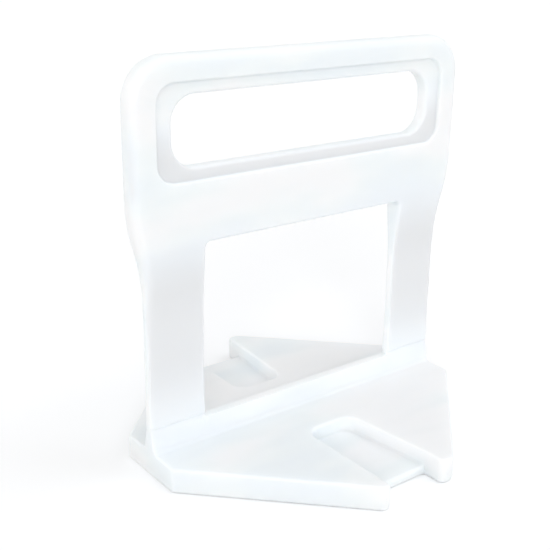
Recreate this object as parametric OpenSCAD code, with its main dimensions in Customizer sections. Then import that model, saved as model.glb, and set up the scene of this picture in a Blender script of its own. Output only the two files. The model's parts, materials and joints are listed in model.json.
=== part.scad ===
// Tile levelling clip: a snap-off strap on a diamond base, moulded in one piece.
// X runs along the tile joint, Y across it and Z up. The underside of the base is at Z = 0.

/* [Base] */
// Width of the square base across its flats, before its corners are cut off
base_flats = 33.6; // [31:0.2:40]
// Thickness of the base under the tiles
base_t = 2.7; // [2.2:0.1:4]
// Radius of the base corners on the rounded half
end_r = 1.5; // [0.5:0.1:2.5]

/* [Adhesive channels] */
// Width of the channel that lets the adhesive through, at its inner end
channel_w = 5.9; // [4:0.1:8]
// Distance of the channel's middle from the middle of the base, at its inner end
channel_x = -0.95; // [-2:0.05:2]
// Distance of the channel's inner end from the middle of the strap
channel_start = 6.1; // [4:0.1:9]
// Radius of the channel's inner corners
channel_r = 1.5; // [0.5:0.1:1.9]
// How much the channel widens towards the notch, at its one sloping side
channel_flare = 1.2; // [0.4:0.1:2]
// Thickness of the channel's floor
floor_t = 1.05; // [0.8:0.05:1.8]

/* [Notches] */
// How far the notch reaches into the base
notch_d = 2.5; // [1:0.05:4]
// Width of the narrower rim left beside the notch
rim_w = 0.85; // [0.5:0.05:2]
// Radius of the rim's corners at the notch
notch_r = 0.8; // [0.3:0.1:1.2]

/* [Root bar] */
// Height of the bar that carries the strap, above the base
bar_h = 2.15; // [1:0.05:4]
// Width of the bar where it meets the base
bar_foot_w = 1.9; // [1.4:0.1:4]

/* [Legs] */
// Thickness of the legs, which is the width of the tile joint
leg_t = 1; // [0.8:0.1:1.3]
// Width of each leg
leg_w = 6.5; // [4:0.1:9]
// Length of the slope over which the legs thicken into the head
leg_taper_h = 6.5; // [3:0.1:10]
// Depth of the snap line across the foot of the legs, on each face
snap_d = 0.15; // [0.05:0.05:0.3]
// Height of the snap line
snap_h = 0.6; // [0.2:0.1:1]

/* [Wedge window] */
// Width of the window that takes the wedge
window_w = 26; // [20:0.5:28]
// Height of the window above the root bar
window_h = 19.15; // [14:0.05:30]
// Radius of the window's top corners
window_r = 0.6; // [0.2:0.1:2]

/* [Head] */
// Thickness of the head
head_t = 2.4; // [1.8:0.1:3.5]
// How far the head stands out past each leg
head_flare = 1.4; // [0.6:0.1:3]
// Height of the curve that widens the legs to the head
flare_h = 9.5; // [6:0.1:11]
// Radius of the top corners
head_r = 4.2; // [2:0.1:6]
// Height of the crossbar between the window and the slot
crossbar_h = 7.5; // [6.5:0.1:12]
// Height of the rail above the slot
rail_h = 3.7; // [2.5:0.1:6]

/* [Grip slot] */
// Height of the slot
slot_h = 6.8; // [5.6:0.1:10]
// Radius of the slot's corners
slot_r = 2.6; // [1:0.1:2.7]
// Distance from the slot's end to the side of the head
slot_side = 4.5; // [3.5:0.1:6]
// Width of the sunk border above and below the slot
border_w = 1.25; // [0.6:0.05:2]
// Width of the sunk border at the slot's ends
border_end_w = 1.8; // [0.8:0.1:2.2]
// Radius of the border's corners
border_r = 2; // [0.5:0.1:3]
// Depth of the sunk border on each face
border_d = 0.4; // [0.2:0.05:0.6]

/* [Hidden] */
$fn = 64;

// Overlap that joins solids and carries cuts past a face
eps = 0.01;
// Extra radius that makes an arc cross the line or arc it would only graze
graze = 0.001;

leg_span = window_w + 2 * leg_w;
head_w = leg_span + 2 * head_flare;
slot_l = head_w - 2 * slot_side;

foot_z = base_t + bar_h;
window_top = foot_z + window_h;
slot_z = window_top + crossbar_h + slot_h / 2;
clip_h = window_top + crossbar_h + slot_h + rail_h;

// The widening curve is two equal arcs, centred on the top of the window
flare_r = (flare_h ^ 2 + head_flare ^ 2) / (4 * head_flare);
flare_low = window_top - flare_h / 2;
flare_high = window_top + flare_h / 2;

channel_left = channel_x - channel_w / 2;
channel_right = channel_x + channel_w / 2;
notch_right = channel_right + channel_flare;

// Half of the base from corner to corner, before its corners are cut off
base_half = base_flats / sqrt(2);
// The tips are cut off where the notch and its rims just fit
tip_x = max(-channel_left, notch_right) + rim_w;
tip_y = base_half - tip_x;
mouth_y = tip_y - notch_d;
end_y = base_half - leg_span / 2;

// Unit vector from one point to another
function toward(a, b) = (b - a) / norm(b - a);

// Radius of a fillet between two edges that turn by an angle, limited by half of the shorter edge
function fillet(r, edge, turn) = min(r, edge / 2 / tan(turn / 2));

// What a corner of an outline loses when it is rounded, with its neighbours on both sides.
// It reaches past both edges, so that nothing is left standing on them.
module corner_waste(before, corner, after, r) {
    u = toward(corner, before);
    v = toward(corner, after);
    half_angle = acos(u * v) / 2;
    inward = toward([0, 0], u + v);
    centre = corner + inward * r / sin(half_angle);
    reach = r / tan(half_angle);
    off_u = toward(u * (u * v), v) * -r;
    off_v = toward(v * (u * v), u) * -r;
    difference() {
        polygon([
            corner + u * reach, corner + u * reach + off_u, corner - inward * r / sin(half_angle),
            corner + v * reach + off_v, corner + v * reach, centre,
        ]);
        translate(centre) circle(r + graze);
    }
}

// Repeats a shape on both sides of the joint
module both_sides() {
    children();
    mirror([0, 1, 0]) children();
}

// Repeats a shape at both ends of the strap
module both_ends() {
    children();
    mirror([1, 0, 0]) children();
}

// Notch across one tip, with the corners beside it
module tip_waste() {
    left_rim = tip_x + channel_left;
    right_rim = tip_x - notch_right;
    translate([channel_left, mouth_y]) square([notch_right - channel_left, notch_d + eps]);
    corner_waste([channel_left, 0], [channel_left, tip_y], [-tip_x, tip_y],
                 fillet(notch_r, left_rim, 90));
    corner_waste([notch_right, 0], [notch_right, tip_y], [tip_x, tip_y],
                 fillet(notch_r, right_rim, 90));
    corner_waste([0, tip_y], [tip_x, tip_y], [leg_span / 2, end_y], fillet(end_r, right_rim, 45));
}

// Outline of the base: a square on its corner, cut off at the legs and at both tips
module base_outline() {
    difference() {
        intersection() {
            rotate(45) square(base_flats, center = true);
            square([leg_span, 2 * tip_y], center = true);
        }
        both_sides() {
            tip_waste();
            corner_waste([leg_span / 2, 0], [leg_span / 2, end_y], [tip_x, tip_y],
                         fillet(end_r, 2 * end_y, 45));
        }
    }
}

// Channel from its rounded inner end to the notch
module channel_outline() {
    difference() {
        polygon([
            [channel_left, channel_start], [channel_right, channel_start], [notch_right, mouth_y],
            [notch_right, mouth_y + eps], [channel_left, mouth_y + eps],
        ]);
        for (side = [[channel_left, channel_left], [channel_right, notch_right]])
            corner_waste([channel_x, channel_start], [side[0], channel_start], [side[1], mouth_y],
                         fillet(channel_r, channel_w, 90));
    }
}

module base() {
    difference() {
        linear_extrude(base_t) base_outline();
        translate([0, 0, floor_t]) linear_extrude(base_t) both_sides() channel_outline();
    }
}

// Section across the joint, extruded along the whole length of the base
module along_joint(length) {
    rotate([90, 0, 90]) linear_extrude(length, center = true) children();
}

module root_bar() {
    along_joint(leg_span)
        polygon([
            [-bar_foot_w / 2, base_t - eps], [bar_foot_w / 2, base_t - eps],
            [leg_t / 2, foot_z], [-leg_t / 2, foot_z],
        ]);
}

// Outline of the strap seen along Y, with its second axis upwards
module strap_outline() {
    half = leg_span / 2;
    head_half = head_w / 2;
    difference() {
        union() {
            translate([-half, foot_z - eps]) square([leg_span, flare_low - foot_z + 2 * eps]);
            translate([-head_half, flare_low]) square([head_w, clip_h - head_r - flare_low]);
            translate([-head_half + head_r, flare_low])
                square([head_w - 2 * head_r, clip_h - flare_low]);
            both_ends() translate([head_half - head_r, clip_h - head_r]) circle(head_r);
        }
        both_ends() {
            // Inward arc, above the leg
            translate([half + flare_r, flare_low]) circle(flare_r + graze);
            // Outward arc, under the head
            difference() {
                translate([half, window_top]) square([2 * head_flare, flare_h / 2]);
                translate([head_half - flare_r, flare_high]) circle(flare_r + graze);
            }
        }
    }
}

module window_outline() {
    half = window_w / 2;
    difference() {
        translate([-half, foot_z - 2 * eps]) square([window_w, window_h + 2 * eps]);
        both_ends() corner_waste([half, foot_z], [half, window_top], [0, window_top], window_r);
    }
}

// Oblong in the middle of the slot, with rounded corners
module slot_outline(length, height, r) {
    corner = min(r, height / 2 - eps);
    translate([0, slot_z]) {
        square([length - 2 * corner, height], center = true);
        square([length, height - 2 * corner], center = true);
        for (x = [-1, 1], z = [-1, 1])
            translate([x * (length / 2 - corner), z * (height / 2 - corner)]) circle(corner);
    }
}

// Section of the strap across the joint: thin legs that thicken into the head
module strap_section() {
    leg_top = window_top - leg_taper_h;
    snap = leg_t / 2 - snap_d;
    polygon([
        [-leg_t / 2, foot_z - eps], [leg_t / 2, foot_z - eps], [leg_t / 2, foot_z],
        [snap, foot_z + snap_h / 2], [leg_t / 2, foot_z + snap_h], [leg_t / 2, leg_top],
        [head_t / 2, window_top], [head_t / 2, clip_h], [-head_t / 2, clip_h],
        [-head_t / 2, window_top], [-leg_t / 2, leg_top], [-leg_t / 2, foot_z + snap_h],
        [-snap, foot_z + snap_h / 2], [-leg_t / 2, foot_z],
    ]);
}

module strap() {
    difference() {
        intersection() {
            rotate([90, 0, 0]) linear_extrude(head_t, center = true)
                difference() {
                    strap_outline();
                    window_outline();
                    slot_outline(slot_l, slot_h, slot_r);
                }
            along_joint(head_w) strap_section();
        }
        both_sides() translate([0, head_t / 2, 0]) rotate([90, 0, 0])
            linear_extrude(2 * border_d, center = true)
                slot_outline(slot_l + 2 * border_end_w, slot_h + 2 * border_w, border_r);
    }
}

module clip() {
    color("white")
        union() {
            base();
            root_bar();
            strap();
        }
}

clip();
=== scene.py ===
"""Tile levelling clip: one natural polypropylene moulding on a white studio floor."""
import json
import math

import bpy
from mathutils import Euler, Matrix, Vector


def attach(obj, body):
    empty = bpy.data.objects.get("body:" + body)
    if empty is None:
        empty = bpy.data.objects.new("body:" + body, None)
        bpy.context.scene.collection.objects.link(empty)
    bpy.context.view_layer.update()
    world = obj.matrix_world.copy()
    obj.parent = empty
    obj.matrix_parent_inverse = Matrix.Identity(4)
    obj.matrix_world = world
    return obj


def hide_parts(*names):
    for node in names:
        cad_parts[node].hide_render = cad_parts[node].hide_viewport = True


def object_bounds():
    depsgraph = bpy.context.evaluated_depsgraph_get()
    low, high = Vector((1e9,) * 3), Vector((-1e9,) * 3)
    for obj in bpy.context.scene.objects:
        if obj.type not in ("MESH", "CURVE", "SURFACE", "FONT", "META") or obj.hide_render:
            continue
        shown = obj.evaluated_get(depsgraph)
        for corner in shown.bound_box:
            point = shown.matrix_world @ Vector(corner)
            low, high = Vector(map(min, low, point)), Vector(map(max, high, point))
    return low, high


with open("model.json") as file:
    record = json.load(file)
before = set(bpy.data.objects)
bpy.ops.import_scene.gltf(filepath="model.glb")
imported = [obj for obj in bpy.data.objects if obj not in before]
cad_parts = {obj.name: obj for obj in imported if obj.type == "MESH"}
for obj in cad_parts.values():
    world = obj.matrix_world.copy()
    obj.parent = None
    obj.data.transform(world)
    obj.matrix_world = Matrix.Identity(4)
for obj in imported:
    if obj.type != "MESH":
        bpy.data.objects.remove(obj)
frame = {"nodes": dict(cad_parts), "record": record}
cad_low, cad_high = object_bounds()

MM = 0.001
ALONG = Vector((1, 0, 0))
UP = Vector((0, 0, 1))

# Strap as in the part's source, in millimetres: how thick its legs and its head are, the heights
# between which it thickens, and how deep the border round the slot is
LEG_T = 1.0
HEAD_T = 2.4
TAPER_LOW = 17.5
TAPER_HIGH = 24.0
BORDER_D = 0.4
# How far each bend of the taper reaches up and down in the moulding
TAPER_SOFT = 1.6
# Heights between which the legs get the head's thickness while their edges are rounded
EVEN_LOW = 8.0
EVEN_HIGH = 14.0
# Spacing of the level cuts, and places of the upright cuts, that let the broad faces follow the taper
LEVEL_STEP = 0.4
BESIDE_LEG = (12.2, 13.6, 16.5)
# Points nearer than this are one point
MERGE_GAP = 0.001

# Radius that the mould leaves on an edge, in millimetres
BASE_EDGE_R = 0.3
BAR_FILLET_R = 0.5
SNAP_EDGE_R = 0.06
LEG_EDGE_R = 0.3
HEAD_EDGE_R = 0.9
OPENING_EDGE_R = 0.35
STEP_EDGE_R = 0.19
EDGE_SEGMENTS = 5
# Where the kinds of edge lie, in millimetres: the base's edges this far below the window,
BASE_BELOW_WINDOW = 1.5
# and among them those at the foot of the bar above this height and this near to the middle,
FOOT_LOW = 2.0
FOOT_REACH = 1.2
# the strap's outer edges this near to the side or the top of the clip,
NEAR_SIDE = 2.1
NEAR_TOP = 1.5
# the slot's edges this far at most past the ends and the height of its opening in the record,
PAST_SLOT_END = 3.3
PAST_SLOT = 0.6
# and the window's edges no further than this above the taper
ABOVE_TAPER = 1.0
# An edge where the faces turn by more than this is rounded
SHARP_TURN = math.radians(20)
# Faces that lie this flat to each other are one face again
FLAT_TURN = math.radians(0.3)
# Faces that turn by less than this are shaded as one surface
SMOOTH_TURN = math.radians(35)

# Camera, found from the edges of the clip in the photograph, with its lengths in millimetres
LENS = 62.1
EYE_AZIMUTH = math.radians(37.7)
EYE_ELEVATION = math.radians(19.9)
EYE_ROLL = math.radians(0.81)
EYE_DISTANCE = 100.9
AIM = Vector((-3.02, 0.95, 17.97))
NEAREST_SEEN = 5

# Light tent: its level at the middle and how that changes to the right, to the back and upwards
TENT_COLOUR = "#ffffff"
TENT_LEVEL = 0.83
TENT_SLOPE = (-0.09, -0.15, -0.14)
# Lamps: the share of white that each gives a surface facing it, its colour, its azimuth, its elevation
# and its spread, in degrees. The key is a little cool.
LAMPS = {
    "key_softbox": (0.15, "#edf4ff", 60, 55, 35),
    "front_fill": (0.23, "#ffffff", -38, 22, 25),
    "back_fill": (0.08, "#ffffff", -145, 12, 40),
}
# Paper floor: its width, and how far under the clip it lies, in millimetres
FLOOR_W = 4000
FLOOR_DROP = 0.02
# Paper as the camera sees it and as it lights the clip, and what it adds for the camera to be clean white
PAPER_SEEN = "#ffffff"
PAPER_LIT = "#ececec"
FLOOR_LIFT = 0.08

# Natural polypropylene: its milky tones, and how far red, green and blue light gets in, in millimetres
MILK_LOW = "#eef3f7"
MILK_HIGH = "#f7fbfe"
# Greyer tone for the broad faces of the legs and sunk border: partly a thin wall's own look, partly
# painted shade
THIN_MILK_AND_SHADE = "#e5e6e7"
LIGHT_DEPTH = (0.70, 0.68, 0.66)
# Heights over which the greyer tone, partly thin wall and partly painted shade, comes in and goes out
# again, in the legs and in the sunk border, where the painted shade fades out towards the top
LEG_GREY_AND_SHADE_IN = (-1, 13)
LEG_GREY_AND_SHADE_OUT = (19, 27)
BORDER_GREY_AND_SHADE_IN = (28, 30)
BORDER_GREY_AND_SHADE_OUT = (32, 38)
# Widths of the clouding, of the skin's unevenness and of the grain as drawn, in millimetres
CLOUD_W = 6
SKIN_W = 2
GRAIN_W = 0.4
# How far the clouding is drawn out along X, as a scale of its pattern
FLOW_SCALE = (0.35, 1, 1)


def linear(hex_colour):
    """Linear RGBA of an sRGB hex colour."""
    channels = [int(hex_colour[i:i + 2], 16) / 255 for i in (1, 3, 5)]
    return [c / 12.92 if c <= 0.04045 else ((c + 0.055) / 1.055) ** 2.4 for c in channels] + [1.0]


def add_node(tree, kind, values=None, links=None, **settings):
    """Adds a node with its settings, its sockets' values and the links into it."""
    node = tree.nodes.new(kind)
    for name, value in settings.items():
        setattr(node, name, value)
    for name, value in (values or {}).items():
        node.inputs[name].default_value = value
    for name, socket in (links or {}).items():
        tree.links.new(socket, node.inputs[name])
    return node


def new_tree(owner):
    """The empty node tree of a material or world."""
    owner.use_nodes = True
    owner.node_tree.nodes.clear()
    return owner.node_tree


def thin_walls_and_painted_shade(tree, place, normal):
    """1 on the broad faces of the legs and of the sunk border, 0 elsewhere, with soft changes: where the
    thin walls' grey and the painted shade go.
    """
    where = add_node(tree, "ShaderNodeSeparateXYZ", links={"Vector": place}).outputs
    above_foot = add_node(tree, "ShaderNodeMapRange",
                          {"From Min": LEG_GREY_AND_SHADE_IN[0] * MM, "From Max": LEG_GREY_AND_SHADE_IN[1] * MM},
                          {"Value": where["Z"]}, interpolation_type="SMOOTHSTEP")
    below_head = add_node(tree, "ShaderNodeMapRange",
                          {"From Min": LEG_GREY_AND_SHADE_OUT[1] * MM, "From Max": LEG_GREY_AND_SHADE_OUT[0] * MM},
                          {"Value": where["Z"]}, interpolation_type="SMOOTHSTEP")
    legs = add_node(tree, "ShaderNodeMath", operation="MULTIPLY",
                    links={0: above_foot.outputs["Result"], 1: below_head.outputs["Result"]})

    in_head = add_node(tree, "ShaderNodeMapRange",
                       {"From Min": BORDER_GREY_AND_SHADE_IN[0] * MM, "From Max": BORDER_GREY_AND_SHADE_IN[1] * MM},
                       {"Value": where["Z"]})
    below_rail = add_node(tree, "ShaderNodeMapRange",
                          {"From Min": BORDER_GREY_AND_SHADE_OUT[1] * MM, "From Max": BORDER_GREY_AND_SHADE_OUT[0] * MM},
                          {"Value": where["Z"]}, interpolation_type="SMOOTHSTEP")
    at_slot = add_node(tree, "ShaderNodeMath", operation="MULTIPLY",
                       links={0: in_head.outputs["Result"], 1: below_rail.outputs["Result"]})
    from_middle = add_node(tree, "ShaderNodeMath", links={0: where["Y"]}, operation="ABSOLUTE")
    sunk = add_node(tree, "ShaderNodeMapRange",
                    {"From Min": HEAD_T / 2 * MM, "From Max": (HEAD_T / 2 - BORDER_D) * MM},
                    {"Value": from_middle.outputs["Value"]})
    border = add_node(tree, "ShaderNodeMath", operation="MULTIPLY",
                      links={0: at_slot.outputs["Value"], 1: sunk.outputs["Result"]})

    walls = add_node(tree, "ShaderNodeMath", operation="ADD",
                     links={0: legs.outputs["Value"], 1: border.outputs["Value"]})
    facing = add_node(tree, "ShaderNodeSeparateXYZ", links={"Vector": normal}).outputs["Y"]
    broad = add_node(tree, "ShaderNodeMath", links={0: facing}, operation="ABSOLUTE")
    thin = add_node(tree, "ShaderNodeMath", operation="MULTIPLY",
                    links={0: walls.outputs["Value"], 1: broad.outputs["Value"]})
    return thin.outputs["Value"]


def natural_polypropylene():
    """Natural polypropylene, moulded: it is milky and light goes a little way in, so that its edges glow.
    Its legs and sunk border are painted greyer, partly because less milk is seen across a thin wall and
    partly as painted shade. The mould gives it a satin skin."""
    material = bpy.data.materials.new("natural_polypropylene_moulded")
    tree = new_tree(material)
    spot = add_node(tree, "ShaderNodeTexCoord").outputs
    place = spot["Object"]

    # Clouding along the bars that the melt flowed through
    flow = add_node(tree, "ShaderNodeMapping", {"Scale": FLOW_SCALE}, {"Vector": place})
    cloud = add_node(tree, "ShaderNodeTexNoise",
                     {"Scale": 1 / (CLOUD_W * MM), "Detail": 2.0, "Roughness": 0.45},
                     {"Vector": flow.outputs["Vector"]})
    streak = add_node(tree, "ShaderNodeMapRange", {"From Min": 0.35, "From Max": 0.65},
                      {"Value": cloud.outputs["Fac"]}, interpolation_type="SMOOTHSTEP")
    milk = add_node(tree, "ShaderNodeMix", {"A": linear(MILK_LOW), "B": linear(MILK_HIGH)},
                    {"Factor": streak.outputs["Result"]}, data_type="RGBA")

    # Legs and sunk border painted greyer: partly less milk to see across a thin wall, partly painted shade
    body = add_node(tree, "ShaderNodeMix", {"B": linear(THIN_MILK_AND_SHADE)}, data_type="RGBA",
                    links={"Factor": thin_walls_and_painted_shade(tree, place, spot["Normal"]), "A": milk.outputs["Result"]})

    # Satin skin of the mould, a little uneven
    skin = add_node(tree, "ShaderNodeTexNoise", {"Scale": 1 / (SKIN_W * MM), "Detail": 2.0},
                    {"Vector": place})
    satin = add_node(tree, "ShaderNodeMapRange", {"To Min": 0.36, "To Max": 0.46},
                     {"Value": skin.outputs["Fac"]})

    # Spark-eroded grain of about 0.05 mm, drawn at 0.4 mm because finer grain wouldn't show
    grain = add_node(tree, "ShaderNodeTexNoise", {"Scale": 1 / (GRAIN_W * MM), "Detail": 2.0},
                     {"Vector": place})
    relief = add_node(tree, "ShaderNodeBump", {"Strength": 0.12, "Distance": 0.02 * MM},
                      {"Height": grain.outputs["Fac"]})

    surface = add_node(
        tree, "ShaderNodeBsdfPrincipled",
        {"IOR": 1.49, "Subsurface Weight": 1.0, "Subsurface Radius": LIGHT_DEPTH,
         "Subsurface Scale": MM},
        {"Base Color": body.outputs["Result"], "Roughness": satin.outputs["Result"],
         "Normal": relief.outputs["Normal"]})
    add_node(tree, "ShaderNodeOutputMaterial", links={"Surface": surface.outputs["BSDF"]})
    return material


def select_only(piece):
    bpy.ops.object.select_all(action="DESELECT")
    piece.select_set(True)
    bpy.context.view_layer.objects.active = piece


def ramp(value, low, high):
    """0 at low and below, 1 at high and above, straight between."""
    return min(max((value - low) / (high - low), 0), 1)


def strap_thickness(height, soft):
    """Thickness of the strap at a height. soft is how far its two bends reach to each side."""
    if not soft:
        return LEG_T + (HEAD_T - LEG_T) * ramp(height, TAPER_LOW, TAPER_HIGH)
    # The mean of a straight ramp over the soft reach, from the area under it
    area = [max(end - TAPER_LOW, 0) ** 2 - max(end - TAPER_HIGH, 0) ** 2
            for end in (height - soft, height + soft)]
    return LEG_T + (HEAD_T - LEG_T) * (area[1] - area[0]) / (4 * soft * (TAPER_HIGH - TAPER_LOW))


def stretch_strap(mesh, soft, back):
    """Gives the strap one thickness above its feet, or gives it its taper back."""
    for vertex in mesh.vertices:
        height = vertex.co.z / MM
        even = ramp(height, EVEN_LOW, EVEN_HIGH)
        stretch = 1 + even * (HEAD_T / strap_thickness(height, soft) - 1)
        vertex.co.y *= 1 / stretch if back else stretch


def cut_square(axis, places):
    """Cuts the piece in edit mode along planes square to an axis, at places in millimetres."""
    for place in places:
        bpy.ops.mesh.select_all(action="SELECT")
        bpy.ops.mesh.bisect(plane_co=axis * place * MM, plane_no=axis, threshold=MERGE_GAP * MM)


def opening_box(name):
    """Low and high corner of an opening in the record, in millimetres."""
    boxes = {opening["name"]: opening["box_m"] for opening in frame["record"]["physics"]["openings"]}
    return [Vector(corner) / MM for corner in boxes[name]]


def edge_radius(middle):
    """Radius of a moulded edge of the clip, by its middle, in millimetres."""
    along, height = abs(middle.x), middle.z
    if height < opening_box("wedge_window")[0].z - BASE_BELOW_WINDOW:
        at_bar = abs(middle.y) < FOOT_REACH and height > FOOT_LOW
        return BAR_FILLET_R if at_bar else BASE_EDGE_R
    if height < EVEN_LOW:
        return SNAP_EDGE_R
    if along > cad_high.x / MM - NEAR_SIDE or height > cad_high.z / MM - NEAR_TOP:
        return LEG_EDGE_R + (HEAD_EDGE_R - LEG_EDGE_R) * ramp(height, EVEN_LOW, TAPER_HIGH)
    slot_low, slot_high = opening_box("grip_slot")
    at_slot_height = slot_low.z - PAST_SLOT < height < slot_high.z + PAST_SLOT
    at_slot = along < slot_high.x + PAST_SLOT_END and at_slot_height
    at_window = height < TAPER_HIGH + ABOVE_TAPER
    return OPENING_EDGE_R if at_slot or at_window else STEP_EDGE_R


def moulded_clip():
    """The clip with the rounded edges of a moulding. The strap is rounded as a plate of one thickness,
    where all its faces are flat, and its legs are thinned afterwards."""
    piece = bpy.data.objects.new("moulded_clip", frame["nodes"]["clip"].data.copy())
    bpy.context.scene.collection.objects.link(piece)
    piece.data.materials.clear()
    select_only(piece)
    mesh = piece.data

    # A plate of one thickness, with whole faces
    bpy.ops.object.mode_set(mode="EDIT")
    bpy.ops.mesh.select_mode(type="EDGE")
    bpy.ops.mesh.select_all(action="SELECT")
    bpy.ops.mesh.remove_doubles(threshold=MERGE_GAP * MM)
    cut_square(UP, (EVEN_LOW, EVEN_HIGH))
    bpy.ops.object.mode_set(mode="OBJECT")
    stretch_strap(mesh, soft=0, back=False)
    bpy.ops.object.mode_set(mode="EDIT")
    bpy.ops.mesh.select_all(action="SELECT")
    bpy.ops.mesh.dissolve_limited(angle_limit=FLAT_TURN)
    bpy.ops.mesh.select_all(action="DESELECT")
    bpy.ops.mesh.edges_select_sharp(sharpness=SHARP_TURN)
    bpy.ops.object.mode_set(mode="OBJECT")

    # Each sharp edge gets its own radius
    weights = mesh.attributes.new("bevel_weight_edge", "FLOAT", "EDGE")
    for edge in mesh.edges:
        if edge.select:
            ends = [mesh.vertices[i].co / MM for i in edge.vertices]
            weights.data[edge.index].value = edge_radius((ends[0] + ends[1]) / 2) / HEAD_EDGE_R
    rounding = piece.modifiers.new("rounded edges", "BEVEL")
    rounding.limit_method = "WEIGHT"
    rounding.width = HEAD_EDGE_R * MM
    rounding.segments = EDGE_SEGMENTS
    rounding.miter_outer = "MITER_ARC"
    # The radii fit everywhere, and the clamp would shrink them all to the shortest edge
    rounding.use_clamp_overlap = False
    rounding.loop_slide = False
    bpy.ops.object.modifier_apply(modifier=rounding.name)

    # The legs get thin again, on faces small enough to follow the taper
    bpy.ops.object.mode_set(mode="EDIT")
    levels = round((TAPER_HIGH - TAPER_LOW + 2 * TAPER_SOFT) / LEVEL_STEP)
    cut_square(UP, [TAPER_LOW - TAPER_SOFT + LEVEL_STEP * level for level in range(levels + 1)])
    cut_square(ALONG, [side * place for place in BESIDE_LEG for side in (-1, 1)])
    bpy.ops.mesh.select_all(action="SELECT")
    bpy.ops.mesh.quads_convert_to_tris(ngon_method="BEAUTY")
    bpy.ops.object.mode_set(mode="OBJECT")
    stretch_strap(mesh, soft=TAPER_SOFT, back=True)

    shading = piece.modifiers.new("flat faces stay flat", "WEIGHTED_NORMAL")
    shading.keep_sharp = True
    bpy.ops.object.shade_smooth_by_angle(angle=SMOOTH_TURN)
    bpy.ops.object.modifier_apply(modifier=shading.name)
    return piece


def in_view(tree):
    """1 for what the camera sees straight on, in a reflection or through the plastic, and 0 for light."""
    ray = add_node(tree, "ShaderNodeLightPath").outputs
    mirrored = add_node(tree, "ShaderNodeMath", links={0: ray["Is Camera Ray"], 1: ray["Is Glossy Ray"]},
                        operation="ADD")
    through = add_node(tree, "ShaderNodeMath", operation="ADD", use_clamp=True,
                       links={0: mirrored.outputs["Value"], 1: ray["Is Transmission Ray"]})
    return through.outputs["Value"]


def white_floor():
    """A white paper floor that stays clean white for the camera and keeps the clip's shadow."""
    bpy.ops.object.select_all(action="DESELECT")
    bpy.ops.mesh.primitive_plane_add(size=FLOOR_W * MM, location=(0, 0, -FLOOR_DROP * MM))
    floor = bpy.context.active_object
    floor.name = "studio_floor"
    material = bpy.data.materials.new("white_paper_sweep")
    tree = new_tree(material)
    view = in_view(tree)
    white = add_node(tree, "ShaderNodeMix", {"A": linear(PAPER_LIT), "B": linear(PAPER_SEEN)},
                     {"Factor": view}, data_type="RGBA")
    paper = add_node(tree, "ShaderNodeBsdfDiffuse", links={"Color": white.outputs["Result"]})
    seen = add_node(tree, "ShaderNodeMath", {1: FLOOR_LIFT}, {0: view}, operation="MULTIPLY")
    lift = add_node(tree, "ShaderNodeEmission", links={"Strength": seen.outputs["Value"]})
    both = add_node(tree, "ShaderNodeAddShader",
                    links={0: paper.outputs["BSDF"], 1: lift.outputs["Emission"]})
    add_node(tree, "ShaderNodeOutputMaterial", links={"Surface": both.outputs["Shader"]})
    floor.data.materials.append(material)


def light_tent():
    """White tent that is brightest in front, low down and a little to the left. The camera sees it as
    plain white."""
    world = bpy.data.worlds.new("light_tent")
    bpy.context.scene.world = world
    tree = new_tree(world)
    way = add_node(tree, "ShaderNodeTexCoord").outputs["Generated"]
    slope = add_node(tree, "ShaderNodeVectorMath", {1: TENT_SLOPE}, {0: way}, operation="DOT_PRODUCT")
    light = add_node(tree, "ShaderNodeMath", {1: TENT_LEVEL}, {0: slope.outputs["Value"]}, operation="ADD")
    level = add_node(tree, "ShaderNodeMapRange", {"To Max": 1.0},
                     {"Value": in_view(tree), "To Min": light.outputs["Value"]})
    sheet = add_node(tree, "ShaderNodeBackground", {"Color": linear(TENT_COLOUR)},
                     {"Strength": level.outputs["Result"]})
    add_node(tree, "ShaderNodeOutputWorld", links={"Surface": sheet.outputs["Background"]})


def soft_lamp(name, share, colour, azimuth, elevation, spread):
    """A far, soft lamp. Azimuth 0 shines along +Y and 90 along -X, both in degrees."""
    lamp = bpy.data.lights.new(name, "SUN")
    lamp.energy = share * math.pi
    lamp.color = linear(colour)[:3]
    lamp.angle = math.radians(spread)
    holder = bpy.data.objects.new(name, lamp)
    holder.rotation_euler = Euler((math.radians(90 - elevation), 0, math.radians(azimuth)))
    bpy.context.scene.collection.objects.link(holder)


def photo_camera():
    """Camera at the photograph's viewing angle."""
    camera = bpy.data.cameras.new("photo_camera")
    camera.lens = LENS
    camera.clip_start = NEAREST_SEEN * MM
    holder = bpy.data.objects.new("photo_camera", camera)
    holder.rotation_mode = "QUATERNION"
    tilt = Euler((math.pi / 2 - EYE_ELEVATION, 0, -EYE_AZIMUTH)).to_quaternion()
    roll = Euler((0, 0, EYE_ROLL)).to_quaternion()
    holder.rotation_quaternion = tilt @ roll
    holder.location = (AIM + tilt @ Vector((0, 0, EYE_DISTANCE))) * MM
    bpy.context.scene.collection.objects.link(holder)
    bpy.context.scene.camera = holder


clip = moulded_clip()
clip.data.materials.append(natural_polypropylene())
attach(clip, "root")
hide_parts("clip")

white_floor()
light_tent()
for lamp_name, lamp_values in LAMPS.items():
    soft_lamp(lamp_name, *lamp_values)
photo_camera()
bpy.context.scene.view_settings.view_transform = "Standard"
